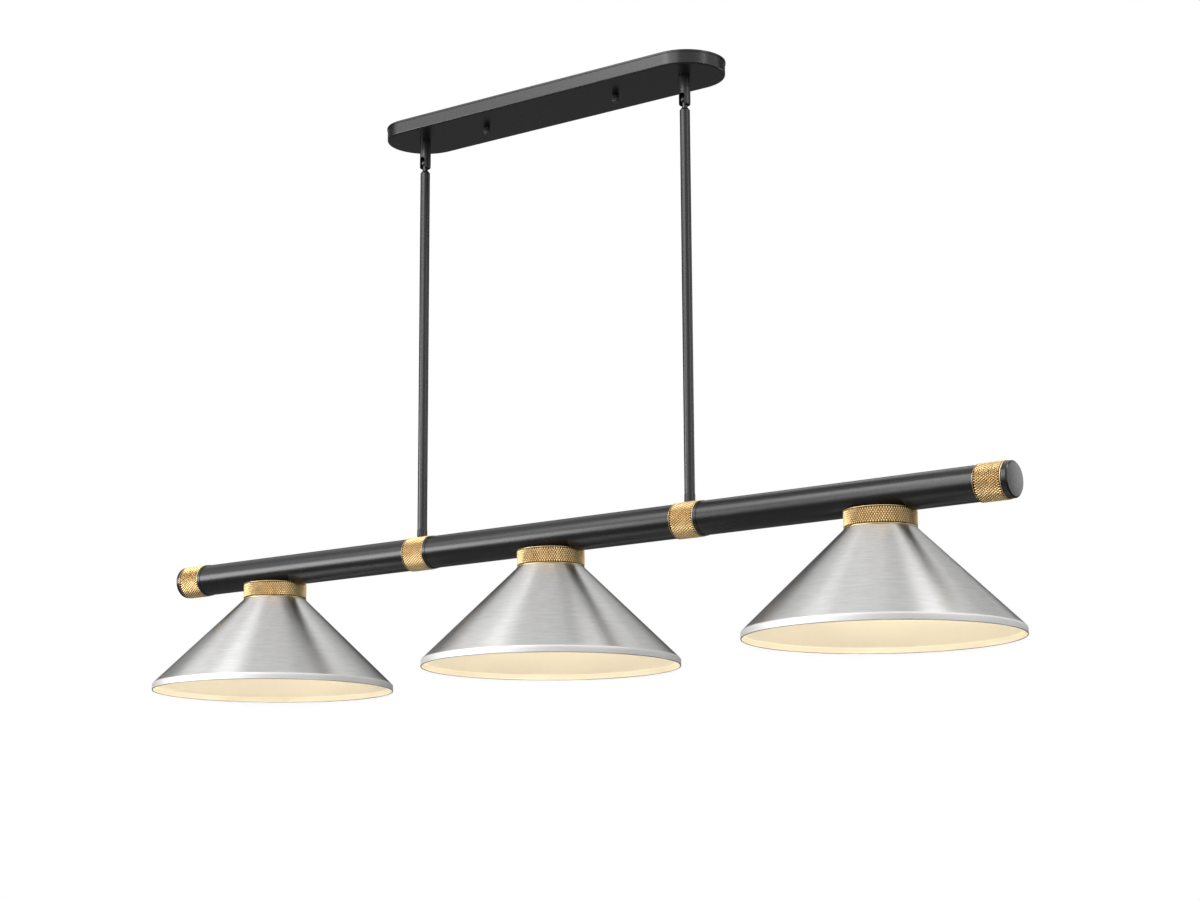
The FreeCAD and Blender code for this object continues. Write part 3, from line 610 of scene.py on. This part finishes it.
# Knurled pieces
def knurled_wall(start, end, radius, count):
    """Diamonds between two heights on a round wall: vertices, faces and the last ring's first vertex."""
    columns = 2 * count
    rows = 2 * round((end - start) / (KNURL_STRETCH * 2 * math.pi * radius / count))
    valley = radius - KNURL_DEPTH
    step = (end - start) / rows
    turn = math.pi / count
    vertices = []
    for j in range(rows + 1):
        vertices += [polar(valley, i * turn, start + j * step) for i in range(columns)]
    faces = []
    for j in range(1, rows):
        for i in range(1 - j % 2, columns, 2):
            left = j * columns + (i - 1) % columns
            right = j * columns + (i + 1) % columns
            below = (j - 1) * columns + i
            above = (j + 1) * columns + i
            crown = len(vertices)
            height = start + j * step
            vertices.append(polar(radius, (i - KNURL_FLAT) * turn, height))
            vertices.append(polar(radius, i * turn, height - KNURL_FLAT * step))
            vertices.append(polar(radius, (i + KNURL_FLAT) * turn, height))
            vertices.append(polar(radius, i * turn, height + KNURL_FLAT * step))
            around = (left, below, right, above)
            faces.append((crown, crown + 1, crown + 2, crown + 3))
            for k in range(4):
                after = (k + 1) % 4
                faces.append((around[k], around[after], crown + after, crown + k))
    for j, inward in ((0, 1), (rows, -1)):
        for i in range(1 - j % 2, columns, 2):
            edge = j * columns
            tip = (j + inward) * columns + i
            faces.append((edge + (i - 1) % columns, edge + i, tip))
            faces.append((edge + i, edge + (i + 1) % columns, tip))
    return vertices, faces, rows * columns


def knurled_ring(name, brass, before, start, end, radius, pitch, after):
    """Closed ring about Z: outline points before the knurl, the knurl, and the points after it."""
    count = round(2 * math.pi * radius / pitch)
    columns = 2 * count
    vertices, faces, last_ring = knurled_wall(start, end, radius, count)
    flat = [True] * len(faces)
    rings = []
    for points in (after, before):
        for point in points:
            rings.append(len(vertices))
            vertices += ring_points([point], columns)
    chain = [last_ring, *rings, 0]
    for first, second in zip(chain, chain[1:]):
        wall = ring_faces(first, second, columns)
        faces += wall
        flat += [False] * len(wall)
    return mesh_piece(name, vertices, faces, [brass], [0] * len(faces), flat)


def neck_cups(brass):
    """Knurled cups with a saddle in the roof that the bar sits in. The three share one mesh."""
    low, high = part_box("neck_cup_centre")
    radius = (high.x - low.x) / 2
    inner = radius - CUP_WALL
    ceiling = high.z - CUP_ROOF
    top = high.z
    foot = low.z
    start = foot + CUP_LAND + LAND_STEP
    end = top - CUP_LAND - LAND_STEP
    land = radius - LAND_DROP
    after = [(land, top - CUP_LAND), (land, top - CUP_EDGE), (land - CUP_EDGE, top),
             (CUP_HOLE_R, top), (CUP_HOLE_R, ceiling), (inner, ceiling)]
    before = [(inner, foot), (land - EDGE_ROUND, foot), (land, foot + EDGE_ROUND), (land, foot + CUP_LAND)]
    cup = knurled_ring("knurled_cup", brass, before, start, end, radius, CUP_PITCH, after)
    carve(cup, bar_cutter(bar_height(), TUBE_R + SADDLE_PLAY, 2 * radius))
    copies(cup, "knurled_cup_", "neck_cup_")


def bar_cutter(height, radius, half_length):
    """Long cylinder along X at the bar's height, used only to cut with."""
    work = bmesh.new()
    along_bar = Matrix.Translation((0, 0, height)) @ Matrix.Rotation(math.pi / 2, 4, "Y")
    bmesh.ops.create_cone(work, cap_ends=True, segments=CUTTER_SEGMENTS, radius1=radius, radius2=radius,
                          depth=2 * half_length, matrix=along_bar)
    mesh = bpy.data.meshes.new("bar_cutter")
    work.to_mesh(mesh)
    work.free()
    cutter = bpy.data.objects.new("bar_cutter", mesh)
    bpy.context.scene.collection.objects.link(cutter)
    return cutter


def carve(piece, cutter):
    """Cuts the cutter out of the piece, and removes the cutter."""
    modifier = piece.modifiers.new("carve", "BOOLEAN")
    modifier.operation = "DIFFERENCE"
    modifier.object = cutter
    modifier.solver = "EXACT"
    bpy.context.view_layer.update()
    evaluated = piece.evaluated_get(bpy.context.evaluated_depsgraph_get())
    carved = bpy.data.meshes.new_from_object(evaluated)
    piece.modifiers.clear()
    piece.data = carved
    bpy.data.objects.remove(cutter)


def knurled_bands(brass):
    """Knurled sleeves round the bar: two at the stems and two at its ends, which share one mesh."""
    nodes = ["stem_band_left", "stem_band_right", "end_band_left", "end_band_right"]
    size = half_size(nodes[0])
    radius = size.z
    half = size.x
    inner = TUBE_R + BAND_PLAY
    start = -half + BAND_LAND + LAND_STEP
    end = half - BAND_LAND - LAND_STEP
    land = radius - LAND_DROP
    after = [(land, half - BAND_LAND), (land, half - BAND_EDGE), (land - BAND_EDGE, half), (inner, half)]
    before = [(inner, -half), (land - BAND_EDGE, -half), (land, -half + BAND_EDGE), (land, -half + BAND_LAND)]
    first = knurled_ring("knurled_band", brass, before, start, end, radius, BAND_PITCH, after)
    for node in nodes:
        piece = first if node == nodes[0] else twin(first)
        piece.name = "knurled_" + node
        piece.matrix_world = Matrix.Translation(middle(node)) @ Matrix.Rotation(math.pi / 2, 4, "Y")
        stand_for(piece, "hanging_bar", node)


# End caps
def turned_caps(black):
    """Caps that close the bar, turned with a broad chamfer and a hollow spigot. The two share one mesh."""
    size = half_size("end_cap_left")
    radius = size.z
    face = size.x
    back = face - CAP_WIDTH
    inner_edge = Vector((radius - CAP_CHAMFER, face))
    outer_edge = Vector((radius, face - CAP_CHAMFER))
    edge = corner_arc(Vector((0, face)), inner_edge, outer_edge, CAP_ROUND, CAP_ARC_STEPS)
    edge += corner_arc(inner_edge, outer_edge, Vector((radius, back)), CAP_ROUND, CAP_ARC_STEPS)
    bore = SPIGOT_R - SPIGOT_WALL
    points = [*edge, (radius, back), (SPIGOT_R, back), (SPIGOT_R, -face), (bore, -face),
              (bore, face - CAP_WIDTH / 2)]
    vertices = ring_points(points, CAP_SEGMENTS)
    count = len(vertices)
    faces = [tuple(range(CAP_SEGMENTS)), tuple(range(count - CAP_SEGMENTS, count))]
    flat = [True, True]
    for start in range(0, count - CAP_SEGMENTS, CAP_SEGMENTS):
        faces += ring_faces(start, start + CAP_SEGMENTS, CAP_SEGMENTS)
        flat += [False] * CAP_SEGMENTS
    first = mesh_piece("turned_cap_left", vertices, faces, [black], [0] * len(faces), flat)
    for piece, side, turn in ((first, "left", -math.pi / 2), (twin(first), "right", math.pi / 2)):
        piece.name = "turned_cap_" + side
        piece.matrix_world = Matrix.Translation(middle("end_cap_" + side)) @ Matrix.Rotation(turn, 4, "Y")
        stand_for(piece, "hanging_bar", "end_cap_" + side)


# Ribbed pieces
def ribbed_ring(radius, depth, ribs, height):
    """Vertices of a ring with upright ribs at one height. height is a number or a function of y."""
    corners = []
    turn = 2 * math.pi / ribs
    for k in range(ribs):
        for share, on_crest in RIB_CORNERS:
            r = radius if on_crest else radius - depth
            angle = (k + share) * turn
            y = r * math.sin(angle)
            corners.append((r * math.cos(angle), y, height(y) if callable(height) else height))
    return corners


def stem_collars(black):
    """Ribbed collars at the feet of the stems, hollowed below to sit on the bands."""
    bar_z = bar_height()
    band_r = half_size("stem_band_left").z
    count = len(RIB_CORNERS) * COLLAR_RIBS
    for side in SIDES:
        low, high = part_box("stem_collar_" + side)
        radius = (high.x - low.x) / 2

        def seat(y):
            """Height of the band's surface."""
            return bar_z + math.sqrt(band_r ** 2 - y ** 2)

        def brow(y):
            """Height of the ribs' feet, just above the band."""
            return seat(y) + COLLAR_EDGE

        vertices = ribbed_ring(radius - COLLAR_EDGE, 0.0, COLLAR_RIBS, high.z)
        vertices += ribbed_ring(radius, COLLAR_RIB_DEPTH, COLLAR_RIBS, high.z - COLLAR_EDGE)
        vertices += ribbed_ring(radius, COLLAR_RIB_DEPTH, COLLAR_RIBS, brow)
        vertices += ribbed_ring(radius - COLLAR_EDGE, 0.0, COLLAR_RIBS, seat)
        faces = [tuple(range(count))]
        for ring in range(3):
            faces += ring_faces(ring * count, (ring + 1) * count, count)
        faces.append(tuple(range(3 * count, 4 * count)))
        piece = mesh_piece("ribbed_collar_" + side, vertices, faces, [black], [0] * len(faces),
                           [True] * len(faces), place=(middle("stem_collar_" + side).x, 0, 0))
        stand_for(piece, "hanging_bar", "stem_collar_" + side)


def cap_nuts(black):
    """Ribbed cap nuts under the canopy, as one piece like their CAD node."""
    low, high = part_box("canopy_cap_nuts")
    radius = (high.y - low.y) / 2
    count = len(RIB_CORNERS) * NUT_RIBS
    neck = high.z - NUT_EDGE
    vertices = []
    faces = []
    for x in (low.x + radius, high.x - radius):
        start = len(vertices)
        nut = ribbed_ring(radius - NUT_EDGE, 0.0, NUT_RIBS, high.z)
        nut += ribbed_ring(radius, NUT_RIB_DEPTH, NUT_RIBS, neck)
        nut += ribbed_ring(radius, NUT_RIB_DEPTH, NUT_RIBS, low.z + 2 * NUT_EDGE)
        nut += ribbed_ring(radius - NUT_EDGE / 2, 0.0, NUT_RIBS, low.z + NUT_EDGE / 2)
        nut += ribbed_ring(radius - 2 * NUT_EDGE, 0.0, NUT_RIBS, low.z)
        vertices += [(x + v[0], v[1], v[2]) for v in nut]
        faces.append(tuple(start + k for k in range(count)))
        for ring in range(4):
            faces += ring_faces(start + ring * count, start + (ring + 1) * count, count)
        faces.append(tuple(start + 4 * count + k for k in range(count)))
    piece = mesh_piece("ribbed_cap_nuts", vertices, faces, [black], [0] * len(faces), [True] * len(faces))
    stand_for(piece, "ceiling_mount", "canopy_cap_nuts")


# CAD nodes that stay
def dress_frame(finishes):
    """Gives each CAD node that still shows the material of its slot."""
    slots = {part["node"]: part["material_slot"] for part in frame["record"]["subparts"]}
    for name, node in frame["nodes"].items():
        material = finishes[slots[name]]
        if name.startswith("bar_"):
            material = finishes["turned_black"]
        # The sleeves take the lighter black: partly their oxide finish, partly painted light for the canopy's
        # shade on them
        if name.startswith("swivel_sleeve_"):
            material = finishes["oxide_black_painted_light"]
        if not node.material_slots:
            node.data.materials.append(material)
        for slot in node.material_slots:
            slot.material = material


# Studio
def direction(azimuth, elevation):
    """Unit vector at an azimuth, counted from +X towards +Y, and an elevation, in degrees."""
    turn = math.radians(azimuth)
    rise = math.radians(elevation)
    return Vector((math.cos(turn) * math.cos(rise), math.sin(turn) * math.cos(rise), math.sin(rise)))


def card_level(tree, place, azimuth, elevation, darkness):
    """1 over the whole world apart from a soft round card, where it falls by darkness."""
    way = direction(azimuth, elevation)
    near = add(tree, "ShaderNodeVectorMath", operation="DOT_PRODUCT", inputs={1: way})
    join(tree, place.outputs["Generated"], near.inputs[0])
    reach = {"From Min": math.cos(math.radians(CARD_OUTER)), "From Max": math.cos(math.radians(CARD_INNER)),
             "To Min": 1.0, "To Max": 1.0 - darkness}
    fall = add(tree, "ShaderNodeMapRange", interpolation_type="SMOOTHSTEP", inputs=reach)
    join(tree, near.outputs["Value"], fall.inputs["Value"])
    return fall.outputs["Result"]


def white_world():
    """White for what the camera, gloss and glass see, dimmer in gloss overhead, and softer as light."""
    world = bpy.data.worlds.new("studio")
    bpy.context.scene.world = world
    world.use_nodes = True
    tree = world.node_tree
    tree.nodes.clear()
    path = add(tree, "ShaderNodeLightPath")
    seen = math_node(tree, "MAXIMUM", path.outputs["Is Camera Ray"], path.outputs["Is Glossy Ray"])
    seen = math_node(tree, "MAXIMUM", seen, path.outputs["Is Transmission Ray"])
    light = add(tree, "ShaderNodeBackground", inputs={"Color": (1, 1, 1, 1), "Strength": WORLD_LEVEL})
    white = add(tree, "ShaderNodeBackground", inputs={"Color": (1, 1, 1, 1)})
    place = add(tree, "ShaderNodeTexCoord")
    way = add(tree, "ShaderNodeSeparateXYZ")
    join(tree, place.outputs["Generated"], way.inputs[0])
    dimmed = {"From Min": OVERHEAD_FROM, "From Max": OVERHEAD_TO, "To Min": 1.0, "To Max": CEILING_GLOSS}
    overhead = add(tree, "ShaderNodeMapRange", interpolation_type="SMOOTHSTEP", inputs=dimmed)
    join(tree, way.outputs["Z"], overhead.inputs["Value"])
    level = overhead.outputs["Result"]
    for azimuth, elevation, darkness in DARK_CARDS:
        level = math_node(tree, "MULTIPLY", level, card_level(tree, place, azimuth, elevation, darkness))
    level = math_node(tree, "MAXIMUM", level, path.outputs["Is Camera Ray"])
    join(tree, level, white.inputs["Strength"])
    mix = add(tree, "ShaderNodeMixShader")
    out = add(tree, "ShaderNodeOutputWorld")
    join(tree, seen, mix.inputs["Fac"])
    join(tree, light.outputs[0], mix.inputs[1])
    join(tree, white.outputs[0], mix.inputs[2])
    join(tree, mix.outputs[0], out.inputs["Surface"])


def pale_floor():
    """Pale floor under the pendant, clear from below so that views from under it stay open."""
    mesh = bpy.data.meshes.new("floor")
    h = FLOOR_HALF
    corners = [(-h, -h, FLOOR_Z), (h, -h, FLOOR_Z), (h, h, FLOOR_Z), (-h, h, FLOOR_Z)]
    mesh.from_pydata(corners, [], [(0, 1, 2, 3)])
    floor = bpy.data.objects.new("floor", mesh)
    bpy.context.scene.collection.objects.link(floor)
    material = bpy.data.materials.new("pale_floor")
    material.use_nodes = True
    tree = material.node_tree
    tree.nodes.clear()
    path = add(tree, "ShaderNodeLightPath")
    side = add(tree, "ShaderNodeNewGeometry")
    matt = add(tree, "ShaderNodeBsdfDiffuse", inputs={"Color": (FLOOR_GREY, FLOOR_GREY, FLOOR_GREY, 1)})
    glow = add(tree, "ShaderNodeEmission", inputs={"Color": (1, 1, 1, 1), "Strength": 1.0})
    clear = add(tree, "ShaderNodeBsdfTransparent")
    seen = add(tree, "ShaderNodeMixShader")
    final = add(tree, "ShaderNodeMixShader")
    out = add(tree, "ShaderNodeOutputMaterial")
    join(tree, math_node(tree, "MULTIPLY", path.outputs["Is Camera Ray"], FLOOR_WHITE), seen.inputs["Fac"])
    join(tree, matt.outputs[0], seen.inputs[1])
    join(tree, glow.outputs[0], seen.inputs[2])
    join(tree, side.outputs["Backfacing"], final.inputs["Fac"])
    join(tree, seen.outputs[0], final.inputs[1])
    join(tree, clear.outputs[0], final.inputs[2])
    join(tree, final.outputs[0], out.inputs["Surface"])
    mesh.materials.append(material)


def softbox(name, azimuth, elevation, width, height, radiance):
    """Area lamp that looks at the pendant from an azimuth, counted from +X towards +Y, and an elevation."""
    back = direction(azimuth, elevation)
    data = bpy.data.lights.new(name, "AREA")
    data.shape = "RECTANGLE"
    data.size = width
    data.size_y = height
    data.energy = radiance * width * height * math.pi
    lamp = bpy.data.objects.new(name, data)
    lamp.location = AIM + back * LAMP_DISTANCE
    lamp.rotation_mode = "QUATERNION"
    lamp.rotation_quaternion = back.to_track_quat("Z", "Y")
    lamp.visible_camera = False
    bpy.context.scene.collection.objects.link(lamp)


def photo_camera():
    """Camera at the photograph's place."""
    level = math.cos(CAMERA_PITCH)
    forward = Vector((math.sin(CAMERA_YAW) * level, math.cos(CAMERA_YAW) * level, math.sin(CAMERA_PITCH)))
    right = Vector((math.cos(CAMERA_YAW), -math.sin(CAMERA_YAW), 0))
    up = right.cross(forward)
    rolled_right = right * math.cos(CAMERA_ROLL) + up * math.sin(CAMERA_ROLL)
    rolled_up = up * math.cos(CAMERA_ROLL) - right * math.sin(CAMERA_ROLL)
    data = bpy.data.cameras.new("photo_camera")
    data.sensor_width = SENSOR_WIDTH
    data.sensor_fit = "HORIZONTAL"
    data.lens = FOCAL_PIXELS * SENSOR_WIDTH / IMAGE_WIDTH
    data.clip_end = VIEW_END
    camera = bpy.data.objects.new("photo_camera", data)
    turned = Matrix((rolled_right, rolled_up, -forward)).transposed().to_4x4()
    camera.matrix_world = Matrix.Translation(CAMERA_PLACE) @ turned
    bpy.context.scene.collection.objects.link(camera)
    bpy.context.scene.camera = camera


def main():
    """Dresses the pendant and builds the studio round it."""
    black = satin_black("satin_black")
    band_brass = knurled_brass("knurled_brass", half_size("stem_band_left").z)
    finishes = {
        "satin_black": black,
        "turned_black": satin_black("turned_black", ring_step=RING_STEP),
        # Lighter copy of the satin black: oxide finish, and painted light for the nuts, collars and sleeves
        # in the canopy's shade
        "oxide_black_painted_light": satin_black("oxide_black_painted_light", level=OXIDE_AND_PAINTED_LIGHT_LEVEL),
        "knurled_brass": band_brass,
        "brushed_shade": brushed_shade(),
        "zinc_steel": plated_steel(),
        "socket_black": moulded_plastic("socket_black", (0.022, 0.022, 0.022), (0.032, 0.031, 0.030), 0.5),
        "socket_brass": plain_brass(),
        "lamp_base": lamp_base(),
        "lamp_glass": lit_glass(),
        "lead_insulation": moulded_plastic("lead_insulation", (0.05, 0.05, 0.05), (0.07, 0.07, 0.07), 0.45),
        "ground_green": moulded_plastic("ground_green", (0.03, 0.28, 0.09), (0.05, 0.36, 0.12), 0.3),
    }
    dress_frame(finishes)
    # The lip's enamel is a darker copy of the same enamel: painted shade, because the lamp lights the lip
    # more squarely
    inside = [warm_inside("warm_inside", 1.0), warm_inside("lip_inside_painted_shade", LIP_PAINTED_SHADE_LEVEL)]
    spun_shade([finishes["brushed_shade"], turned_lip_painted_highlight(), *inside, painted_shade_edge()])
    neck_cups(knurled_brass("cup_brass", half_size("neck_cup_centre").x))
    knurled_bands(band_brass)
    turned_caps(black)
    stem_collars(finishes["oxide_black_painted_light"])
    cap_nuts(finishes["oxide_black_painted_light"])
    white_world()
    pale_floor()
    for lamp in LAMPS_OF_STUDIO:
        softbox(*lamp)
    photo_camera()
    bpy.context.scene.view_settings.view_transform = "Standard"


main()
